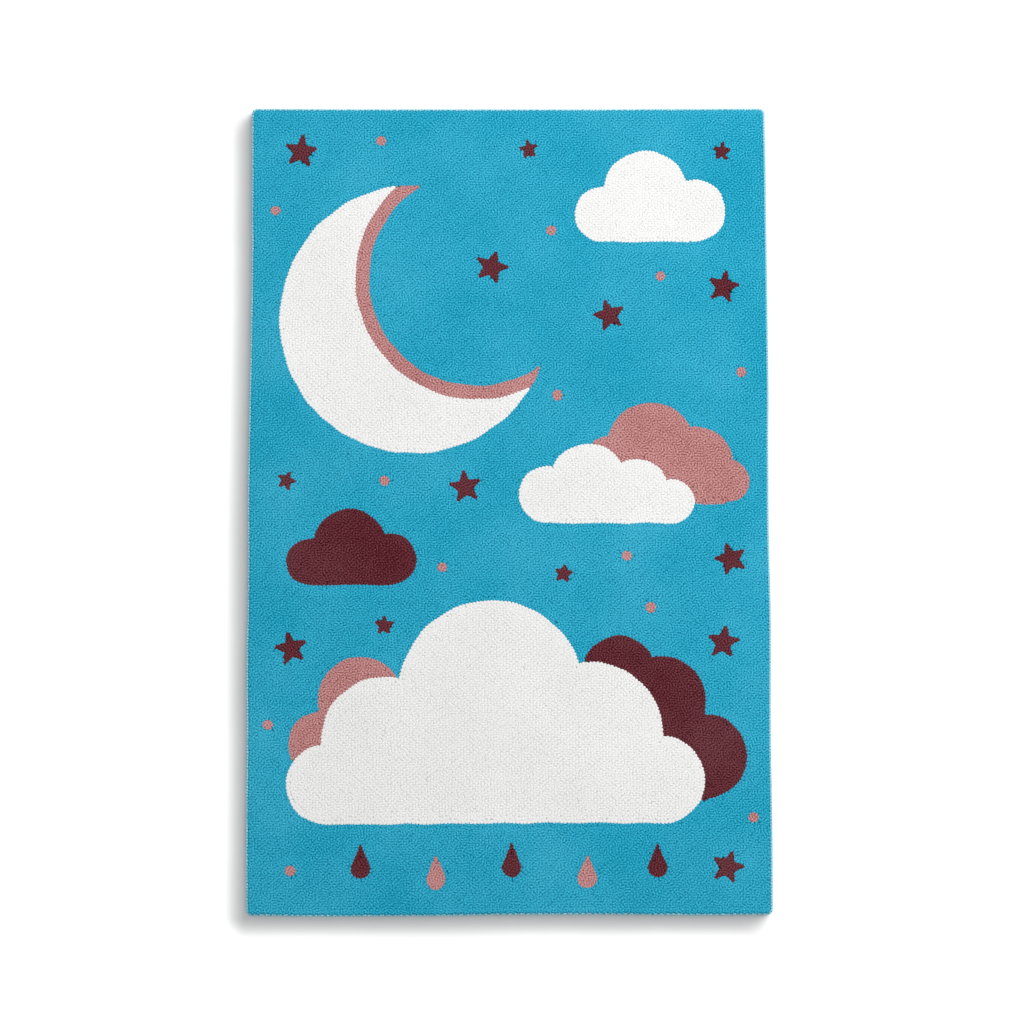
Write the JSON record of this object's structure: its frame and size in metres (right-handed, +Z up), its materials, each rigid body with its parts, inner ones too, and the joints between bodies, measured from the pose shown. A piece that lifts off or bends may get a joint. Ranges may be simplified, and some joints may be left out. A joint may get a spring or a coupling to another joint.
{
  "type": "rectangular loop pile kids rug",
  "caption": "Flat rectangular rug with a dense low loop pile in four yarn colours, a woven back and a whipped yarn edge.",
  "frame": {"origin": "middle of the flat underside, on the floor", "axes": "+Z up out of the pile, +Y along the rug's length towards its head, +X to the right seen from above with the head at the top"},
  "size_m": [0.905, 1.404, 0.0105],
  "materials": {
    "pile_blue": "matt blue loop pile yarn, the rug's ground",
    "pile_white": "matt off-white loop pile yarn",
    "pile_burgundy": "matt burgundy loop pile yarn",
    "pile_pink": "matt dusty pink loop pile yarn",
    "backing_cloth": "plain natural woven backing",
    "edge_yarn": "matt blue whipping yarn, a little paler than the ground"
  },
  "bodies": {
    "root": {"rug_body": "pile_blue", "edge_binding": "edge_yarn"}
  },
  "joints": []
}
